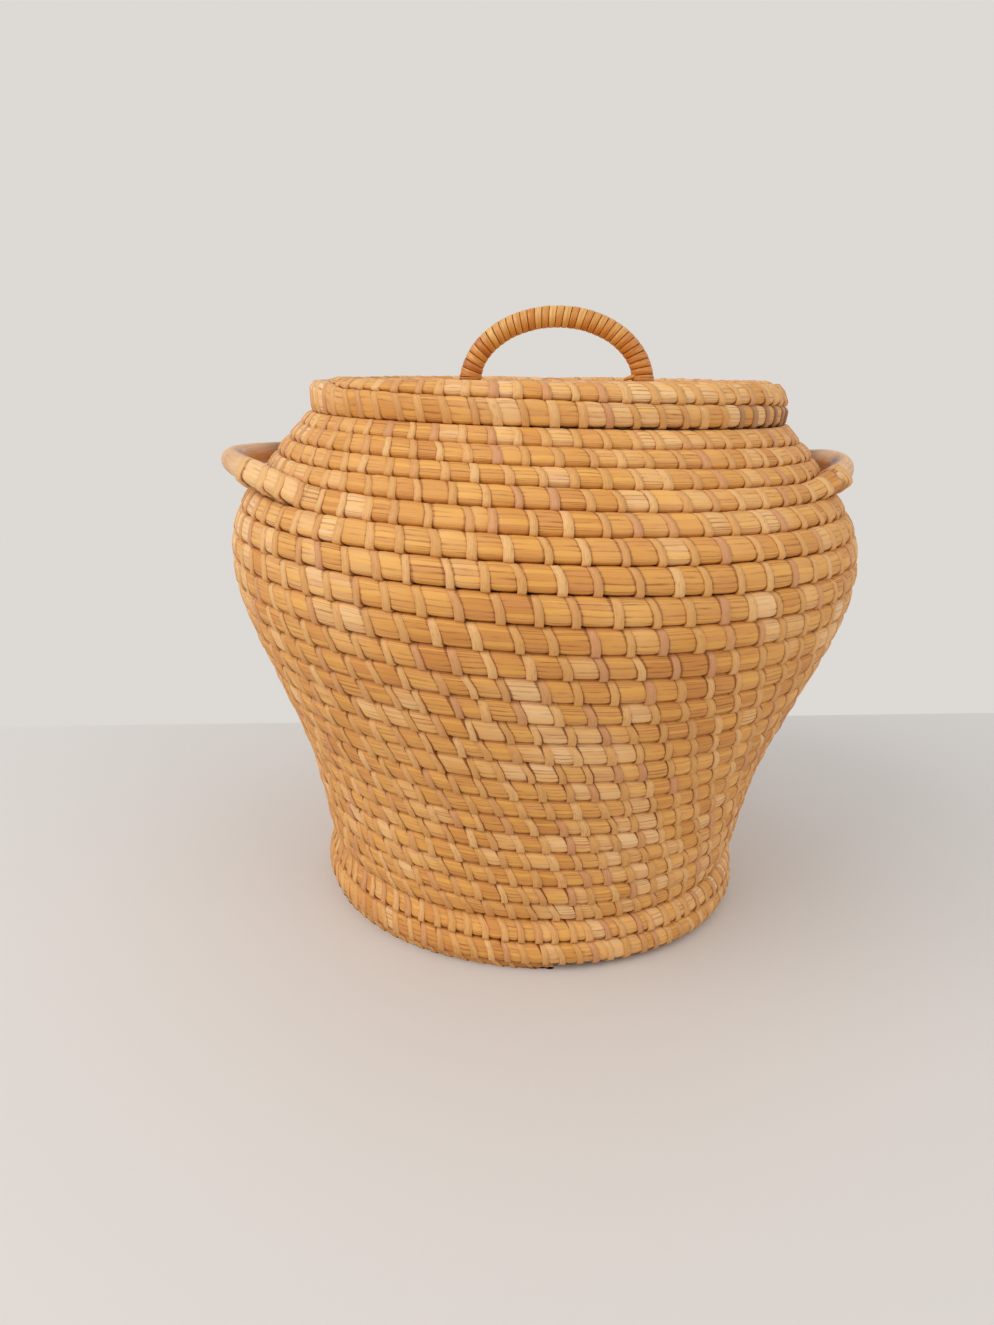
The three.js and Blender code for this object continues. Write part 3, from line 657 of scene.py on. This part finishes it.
wall_lengths = {
    "foot_coil": (23, wall_to),
    "waist_coil": (17, 23),
    "flare_coil": (11, 17),
    "belly_coil": (left_row + left_half, 11),
    "handle_row_rear": (right_row + right_half, left_row - left_half),
    "shoulder_coil": (wall_from, right_row - right_half),
}
for number, (length, (from_row, to_row)) in enumerate(wall_lengths.items()):
    piece = bundle(f"{length}_bundle", wall_outline, from_row, to_row, wall_stitches, wall_span,
                   standing(0.3, mouth - 0.1), level_mouth)
    dress(piece, bundle_cane, "coil_cane", "basket", length)
    here = between(wall_stitches, from_row, to_row)
    width = 5.4 if length == "foot_coil" else stitch_width
    piece = sewn(f"{length}_stitches", wall_outline, here, wall_span, standing(0, mouth), width, seed=number,
                 raised=level_mouth)
    dress(piece, stitch_cane, "coil_cane", "basket", length)

# %% [markdown]
# Each side handle is a rattan pole that lies in its row at both ends and bows outward between them. The row's
# own bundle covers the pole's ends and swells out with them, and only the middle is bare. Behind the pole the
# row goes on, as deep as the pole leaves room for. The left handle was bent further out than the right one.

# %% Side handles
pole_thick, row_inward, bare = 15.8, 4.2, 0.61
tail_gap, behind_gap, behind_least = 0.75, 1.0, 3.6


def handle_path(line, half, stand, lift, sway):
    """How a pole leaves its row at u from -1 to 1. Its middle stands out and lifts, and its ends sway."""
    up = wall_outline(line - 0.01) - wall_outline(line + 0.01)
    up /= np.linalg.norm(up)
    outward, upward = stand * up[1] - lift * up[0], stand * up[0] + lift * up[1]
    tail = pitch_at(wall_outline, line) / 2 - tail_gap

    def bow(u):
        return np.cos(np.pi / 2 * np.clip(u, -1, 1))

    def thicker(u):
        return (pole_thick / 2 - tail) * ease(bow(u), 0.2, 0.6)

    def climb(u):
        return upward * bow(u) ** 2 + sway * np.sin(np.pi * np.clip(u, -1, 1)) * np.where(u > 0, 1, 0.6)

    def centre(u):
        away = outward * bow(u) - row_inward
        return on_coil(wall_outline, line + u * half, 0 * u, away, climb(u), even=True)

    return bow, thicker, climb, centre, outward, tail


def tube_frame(centre, u):
    """Middle, sideways and upward directions of a tube at u."""
    ahead = centre(u + 1e-3) - centre(u - 1e-3)
    ahead /= np.linalg.norm(ahead, axis=-1, keepdims=True)
    across = np.cross(np.array([0, 0, 1.0]), ahead)
    across /= np.linalg.norm(across, axis=-1, keepdims=True)
    return centre(u), across, np.cross(ahead, across)


def side_handle(side, middle_row, half, stand, lift, sway):
    """The pole, the stitched roots that cover its ends, and the row that goes on behind it."""
    bow, thicker, climb, centre, outward, tail = handle_path(middle_row, half, stand, lift, sway)
    solid = f"side_handle_{side}"

    def share(row):
        return (row - middle_row) / half

    def pole_shape(_, s, q):
        u = 0.96 * (2 * s - 1)
        middle, across, up = tube_frame(centre, u)
        knuckle = 1 + 0.012 * np.exp(-(((u - 0.42) / 0.03) ** 2)) + 0.006 * np.sin(9 * u + 1)
        r = (tail + thicker(u)) * knuckle * (1 - 0.07 * ease(np.abs(u), bare + 0.02, bare + 0.12))
        turn = 2 * np.pi * q
        return middle + r[:, None] * (np.cos(turn)[:, None] * across + np.sin(turn)[:, None] * up), 9 * s, q

    dress(wound(f"{side}_pole", 72, 20, pole_shape), peeled_pole, "handle_pole", "basket", solid)

    def cover_span(row):
        middle = outward * bow(share(row)) - row_inward
        deep = half_depth + thicker(share(row))
        return middle + deep, middle - deep

    def cover_raised(row):
        return climb(share(row)), 1 + thicker(share(row)) / half_depth

    for number, end in enumerate((-1, 1), 1):
        from_row, to_row = sorted((middle_row + end * bare * half, middle_row + end * half))
        edge = middle_row + end * bare * half
        inside = between(wall_stitches, from_row, to_row)
        places = np.sort(np.append(inside[np.abs(inside - edge) > 0.009], edge))
        name = f"{side}_handle_root_{number}"
        piece = bundle(f"{name}_bundle", wall_outline, from_row, to_row, wall_stitches, cover_span,
                       level(0, mouth), cover_raised)
        dress(piece, bundle_cane, "coil_cane", "basket", solid)
        piece = sewn(f"{name}_stitches", wall_outline, places, cover_span, level(0, mouth), seed=60 + number,
                     raised=cover_raised)
        dress(piece, stitch_cane, "coil_cane", "basket", solid)

    def room(u):
        return outward * bow(u) - tail - thicker(u) - row_inward - behind_gap

    least = behind_least + wall_inside

    def behind_span(row):
        crest = np.clip(room(share(row)), least, wall_crest)
        return crest, np.full_like(crest, wall_inside)

    tried = np.linspace(0, 1, 401)
    reach = tried[room(tried) > least].max() * half
    name = f"row_behind_{side}_handle"
    from_row, to_row = middle_row - reach, middle_row + reach
    piece = bundle(f"{name}_bundle", wall_outline, from_row, to_row, wall_stitches, behind_span,
                   level(0, mouth))
    dress(piece, bundle_cane, "coil_cane", "basket", name)
    here = between(wall_stitches, from_row, to_row)
    piece = sewn(f"{name}_stitches", wall_outline, here, behind_span, level(0, mouth), proud=0.35)
    dress(piece, stitch_cane, "coil_cane", "basket", name)


side_handle("left", left_row, left_half, stand=27.5, lift=10.5, sway=3)
side_handle("right", right_row, right_half, stand=16, lift=13, sway=0)

# %% [markdown]
# The base and the lid's top are flat spirals of the same coil, started from a knot in the middle. A spiral is
# just another outline, whose radius grows by one turn per row while its height stays level, so the winding
# helpers make it too. Its stitches keep their distance along the coil, not their number per turn.

# %% Flat spirals
def knot(name, height, thick, keep):
    """The rolled-in start of a spiral, a tapering end of the coil that curls about the middle."""
    def shape(_, s, q):
        turn, reach = np.pi * (1 - 2.4 * s), 7 - 5.6 * s
        r = reach + (4.8 - 1.6 * s) * rounded(np.sin(2 * np.pi * q), 0.85)
        rise = height + thick * (1 - 0.12 * s) * rounded(np.cos(2 * np.pi * q), 0.85)
        return keep(np.stack([r * np.sin(turn), -r * np.cos(turn), rise], -1)), 2.5 * s, q + 0.25
    return wound(name, 40, 14, shape)


def within(radius, keep):
    """Keeps points inside a radius too, so that the last turn tapers away."""
    def kept(points):
        far = np.hypot(points[..., 0], points[..., 1])
        points[..., :2] *= np.minimum(1, radius / np.maximum(far, 1e-6))[..., None]
        return keep(points)
    return kept


def spiral_spacing(outer, pitch, spacing):
    """Stitches per turn of a spiral whose stitches stand a fixed distance apart."""
    return lambda row: 2 * np.pi * np.maximum(outer + pitch * row, 14) / spacing


base_outer, base_pitch, base_middle = 137.6, 13.6, 42.95
base_outline = smooth_outline([(row, base_outer + base_pitch * row, base_middle) for row in range(-10, 2)])
base_stitches = stitch_places(-9.75, 0.45, spiral_spacing(base_outer, base_pitch, 17), 5)


def base_span(row):
    return np.full_like(row, 6.2), np.full_like(row, -6.2)


piece = bundle("base_bundle", base_outline, -9.7, 0.42, base_stitches, base_span,
               within(137.4, level(36.8, 49.2)), even=True)
dress(piece, bundle_cane, "coil_cane", "basket", "base_disc")
piece = sewn("base_stitches", base_outline, between(base_stitches, -9.6, 0.2), base_span,
             within(137.6, level(36.4, 49.6)), even=True, seed=21)
dress(piece, stitch_cane, "coil_cane", "basket", "base_disc")
piece = knot("base_knot", base_middle, 6.1, level(36.8, 49.4))
dress(piece, bundle_cane, "coil_cane", "basket", "base_disc")

# %% [markdown]
# The lid is the same coil again: a flat spiral on top that turns down into two turns of rim. It sits with a
# slight lean, right side up, as it does in the photograph, so its points are turned before they are placed on
# the mouth. The rim's seat is level, though, and so its lower turn is deep at the left, where it swells up to
# its shoulder, and shallow at the right. The last stitches of the rim, where its end thins out at the right,
# are sewn with the browner cane.

# %% Lid coil
lid_lean = math.radians(1.2)
no_floor = -1e9


def lid_place(points, floor=no_floor):
    """Turns points of the lid to its lean and lifts them to the mouth."""
    x, y, z = np.moveaxis(points, -1, 0)
    placed = np.stack([x * math.cos(lid_lean) - z * math.sin(lid_lean), y,
                       x * math.sin(lid_lean) + z * math.cos(lid_lean) + mouth], -1)
    placed[..., 2] = np.maximum(placed[..., 2], floor)
    return placed


def rim_place(floor):
    """Places the lid's coil. Its rim is level between seat and shoulder, swollen at the left, and never
    below the floor."""
    def keep(points):
        x, y, rise = np.moveaxis(points, -1, 0)
        levelled = ease(rise, 3, 10) - ease(rise, 14, 26)
        reach = np.hypot(x, y)
        at_left = ease(-x / np.maximum(reach, 100), 0.76, 0.9) * ease(reach, 134, 150)
        swollen = 5.4 * at_left * (ease(rise, 5, 14) - ease(rise, 12, 24))
        drawn_in = 1 - 0.045 * at_left * ease(rise, 10, 24)
        height = rise + swollen - levelled * x * math.tan(lid_lean)
        return lid_place(np.stack([x * drawn_in, y * drawn_in, height], -1), floor)
    return keep


top_outer, top_pitch, top_middle = 150, 13, 22.9
lid_outline = smooth_outline(
    [(row, top_outer + top_pitch * row, top_middle) for row in range(-12, 1)]
    + [(1, 160, 15.2), (2, 159.5, 0), (3, 159, -15)])
rim_stitches = stitch_places(-0.1, 2.4, lambda row: 66.7 + 0 * row, 7)
top_stitches = stitch_places(-11.1, 0.05, spiral_spacing(top_outer, top_pitch, 16), 9)


def lid_span(row):
    """The lid's crests. The turns of the rim stand prouder than those of the flat top."""
    proud = 2.2 * ease(row, -0.35, 0.1)
    return 0.3 + proud, proud - 12.7


rim_to, brown_from, brown_to = 2.25, 1.61, 1.86
plain_rim = between(rim_stitches, 0.01, 2.22)
plain_rim = plain_rim[(plain_rim < brown_from) | (plain_rim > brown_to)]
rim_end = between(rim_stitches, brown_from, brown_to)
piece = bundle("lid_rim_bundle", lid_outline, 0, rim_to, rim_stitches, lid_span, rim_place(mouth + 0.3))
dress(piece, bundle_cane, "coil_cane", "lid", "lid_rim_coil")
on_seat = rim_place(mouth + 0.1)
piece = sewn("lid_rim_stitches", lid_outline, plain_rim, lid_span, on_seat, seed=31)
dress(piece, stitch_cane, "coil_cane", "lid", "lid_rim_coil")
piece = sewn("lid_rim_end_stitches", lid_outline, rim_end, lid_span, on_seat, proud=0.6, seed=32)
dress(piece, brown_stitch_cane, "coil_cane", "lid", "lid_rim_coil")

on_top = rim_place(no_floor)
piece = bundle("lid_top_bundle", lid_outline, -11, 0, top_stitches, lid_span, on_top)
dress(piece, bundle_cane, "coil_cane", "lid", "lid_top_disc")
piece = sewn("lid_top_stitches", lid_outline, between(top_stitches, -10.9, -0.01), lid_span, on_top, seed=41)
dress(piece, stitch_cane, "coil_cane", "lid", "lid_top_disc")
dress(knot("lid_knot", 16.7, 6.4, lid_place), bundle_cane, "coil_cane", "lid", "lid_top_disc")

# %% [markdown]
# Under the lid hangs a ring of thinner coil. It drops into the mouth and keeps the lid from sliding off.

# %% Ring under the lid
ring_outline = smooth_outline([(0, 146.7, 9.6), (1, 146.7, 0.8), (2, 146.7, -8)])
ring_stitches = stitch_places(-0.6, 2.6, lambda row: 60.3 + 0 * row, 13)


def ring_span(row):
    return np.full_like(row, 1.8), np.full_like(row, -9.2)


def ring_place(low, high):
    return lambda points: lid_place(level(low, high)(points))


piece = bundle("lid_ring_bundle", ring_outline, -0.5, 2.5, ring_stitches, ring_span, ring_place(-7.8, 9.4),
               even=True)
dress(piece, bundle_cane, "coil_cane", "lid", "lid_plug_ring")
piece = sewn("lid_ring_stitches", ring_outline, between(ring_stitches, 0.1, 1.9), ring_span,
             ring_place(-8, 9.5), proud=0.3, even=True, seed=51)
dress(piece, stitch_cane, "coil_cane", "lid", "lid_plug_ring")

# %% [markdown]
# The lid's handle is a cane bent to half an ellipse. A flat cane is wound round it some thirty times, edge to
# edge, and rings of the same cane bind its legs above and below the lid. The winding is one strip from end to
# end with a crowned section, so that each turn catches its own line of light.

# %% Lid handle
arch_x, arch_wide, arch_high, arch_foot, leg_bottom = 6.5, 60, 44, 21.5, 2.1
core_radius, strip_thick = 4.8, 1.3
# The section of a wound strip: where its seven columns lie across it, and what the map says of them
strip_columns = np.array([-0.5, -0.4, 0, 0.4, 0.5, 0, -0.5])
strip_marks = np.array([0, 0.16, 0.5, 0.84, 1, 1.4, 1.8])
# The share of its full thickness that the winding and the bindings have at each column
wrap_crown = np.array([0.68, 0.95, 1.0, 0.95, 0.68, 0, 0.68])
binding_crown = np.array([0.3, 0.85, 1.0, 0.85, 0.3, 0, 0.3])
# How far the winding's underside lies off the core
wrap_off_core = 1.15


def arch(angle):
    rise = arch_foot + arch_high * np.sin(angle)
    return np.stack([arch_x - arch_wide * np.cos(angle), 0 * angle, rise], -1)


def arch_frame(angle):
    """Middle, sideways and upward directions of the arch at an angle."""
    ahead = np.stack([arch_wide * np.sin(angle), 0 * angle, arch_high * np.cos(angle)], -1)
    ahead /= np.linalg.norm(ahead, axis=-1, keepdims=True)
    across = np.broadcast_to(np.array([0, 1.0, 0]), ahead.shape)
    return arch(angle), across, np.cross(ahead, across)


angles = np.linspace(0, np.pi, 2001)
lengths = np.concatenate([[0], np.cumsum(np.linalg.norm(np.diff(arch(angles), axis=0), axis=1))])
wrap_from, wrap_to, wrap_turns = 0.2, lengths[-1] - 0.2, 33
wrap_step = (wrap_to - wrap_from) / (wrap_turns + 1)
print("arch length:", round(lengths[-1], 1), "mm, turns", wrap_turns, "of", round(wrap_step, 2), "mm")


def round_arch(length, turn, radius):
    """Places round the arch, at a length along it, a turn about it and a radius from its middle."""
    middle, across, up = arch_frame(np.interp(length, lengths, angles))
    return middle + radius[:, None] * (np.cos(turn)[:, None] * up + np.sin(turn)[:, None] * across)


def wrap_shape(_, s, q):
    column = (q * 6).round().astype(int)
    across = strip_columns[column] * wrap_step * 0.97
    raised = wrap_crown[column] * strip_thick
    turns = s * wrap_turns
    uneven = 0.12 * np.sin(5.1 * turns) + 0.1 * np.sin(1.7 * turns + 1)
    wider = 1 + 0.07 * np.clip(1 - np.minimum(s, 1 - s) / 0.08, 0, 1)
    length = wrap_from + wrap_step * (turns + 0.5) + across + 0.25 * uneven
    radius = (core_radius + wrap_off_core + raised + uneven * 0.4) * wider
    place = round_arch(length, 2 * np.pi * turns, radius)
    return lid_place(place), turns, strip_marks[column]


def core_shape(_, s, q):
    straight = arch_foot - leg_bottom
    length = s * (lengths[-1] + 2 * straight) - straight
    inside = np.clip(length, 0, lengths[-1])
    place = round_arch(inside, 2 * np.pi * q, np.full_like(s, core_radius))
    place[:, 2] -= np.abs(length - inside)
    return lid_place(place), s * 20, q


dress(wound("handle_cane_core", 90, 16, core_shape), core_cane, "handle_core", "lid", "lid_handle_core")
winding = wound("handle_winding", wrap_turns * 16, 6, wrap_shape)
dress(winding, handle_cane, "handle_wrap", "lid", "lid_handle_wrap")


def binding_shape(x, bottom, height, thick, tilt, inner=4.95, turns=2):
    """A few turns of cane round a leg."""
    def shape(_, s, q):
        column = (q * 6).round().astype(int)
        step = height / (turns + 1)
        across = strip_columns[column] * step * 0.96
        raised = binding_crown[column] * thick
        turn = 2 * np.pi * s * turns
        rise = bottom + step * (s * turns + 0.5) + across
        r = inner + raised
        place = np.stack([x + r * np.sin(turn) + tilt * (rise - bottom), r * np.cos(turn), rise], -1)
        return lid_place(place), s * turns, strip_marks[column]
    return shape


for side, x, tilt in (("left", arch_x - arch_wide, 0.05), ("right", arch_x + arch_wide, -0.05)):
    shape = binding_shape(x, bottom=23.2, height=4.6, thick=2.9, tilt=tilt)
    collar = wound(f"{side}_collar", 48, 6, shape)
    dress(collar, handle_cane, "handle_wrap", "lid", f"lid_handle_collar_{side}")
    shape = binding_shape(x, bottom=3.6, height=6.0, thick=5.2, tilt=0)
    tie = wound(f"{side}_tie", 48, 6, shape)
    dress(tie, handle_cane, "handle_wrap", "lid", f"lid_handle_tie_{side}")


def spur_shape(_, s, q):
    """The cut end of the binding, which sticks out at the foot of the right leg."""
    middle = np.stack([arch_x + arch_wide - 3 - 10.5 * s, -2.5 + 0 * s, 27.6 - 3.2 * s], -1)
    r = (2.7 - 1.5 * s)[:, None]
    turn = 2 * np.pi * q
    place = middle + r * np.stack([0.3 * np.sin(turn), np.cos(turn), np.sin(turn)], -1)
    return lid_place(place), 0.9 * s, q


spur = wound("right_leg_spur", 8, 10, spur_shape)
dress(spur, handle_cane, "handle_wrap", "lid", "lid_handle_collar_right")

# %% [markdown]
# The floor is a plain pale table. It changes tone along the line where the photograph shows the wall behind,
# and there it shows the camera the same flat tone as the backdrop, so that no edge shows far away.

# %% Floor
wall_tone, table_tone = screen(221, 217, 213), screen(212, 208, 204)
wall_slant, wall_starts, wall_is_full = -0.1624, 0.3155, 0.3175
pale_floor, tree, shader = fresh("pale_floor")
shader.inputs["Base Color"].default_value = table_tone
shader.inputs["Roughness"].default_value = 0.6
split = node(tree, "SeparateXYZ", Vector=node(tree, "TexCoord").outputs["Object"])
line = maths(tree, "MULTIPLY_ADD", split.outputs[0], wall_slant, split.outputs[1])
beyond = remap(tree, line, wall_starts, wall_is_full)
seen = times(tree, beyond, node(tree, "LightPath").outputs["Is Camera Ray"])
glow = node(tree, "Emission", Color=wall_tone, Strength=1.0)
both = node(tree, "MixShader", i0=seen, i1=shader.outputs[0], i2=glow.outputs[0])
tree.links.new(both.outputs[0], tree.nodes["Material Output"].inputs["Surface"])

bm = bmesh.new()
bmesh.ops.create_grid(bm, x_segments=4, y_segments=4, size=4)
floor_mesh = bpy.data.meshes.new("floor")
bm.to_mesh(floor_mesh)
bm.free()
floor_mesh.materials.append(pale_floor)
floor = bpy.data.objects.new("floor", floor_mesh)
bpy.context.scene.collection.objects.link(floor)
print("floor:", floor.dimensions[0], "m across")

# %% [markdown]
# The basket is lit by an even white sky and two soft lamps, for the window on the left and the room on the
# right. The camera sees the sky as the flat tone of a wall.

# %% Light and backdrop
world = bpy.data.worlds.new("studio")
bpy.context.scene.world = world
world.use_nodes = True
tree = world.node_tree
sky = tree.nodes["Background"]
sky.inputs["Color"].default_value = (1.0, 1.0, 1.0, 1)
sky.inputs["Strength"].default_value = 0.78
backdrop = node(tree, "Background", Color=wall_tone, Strength=1.0)
path = node(tree, "LightPath")
both = node(tree, "MixShader", i0=path.outputs["Is Camera Ray"], i1=sky.outputs[0], i2=backdrop.outputs[0])
tree.links.new(both.outputs[0], tree.nodes["World Output"].inputs["Surface"])


def soft_box(name, place, size, watts):
    """A square lamp that looks at the basket."""
    lamp = bpy.data.objects.new(name, bpy.data.lights.new(name, "AREA"))
    lamp.data.size = size
    lamp.data.energy = watts
    lamp.data.color = (1.0, 0.985, 0.965)
    away = Vector(place) - Vector((0, 0, 0.2))
    lamp.matrix_world = Matrix.Translation(place) @ away.to_track_quat("Z", "Y").to_matrix().to_4x4()
    bpy.context.scene.collection.objects.link(lamp)


soft_box("window_light", (-1.8, -1.25, 1.9), size=2.3, watts=37)
soft_box("room_light", (1.6, -1.3, 1.3), size=1.6, watts=8)
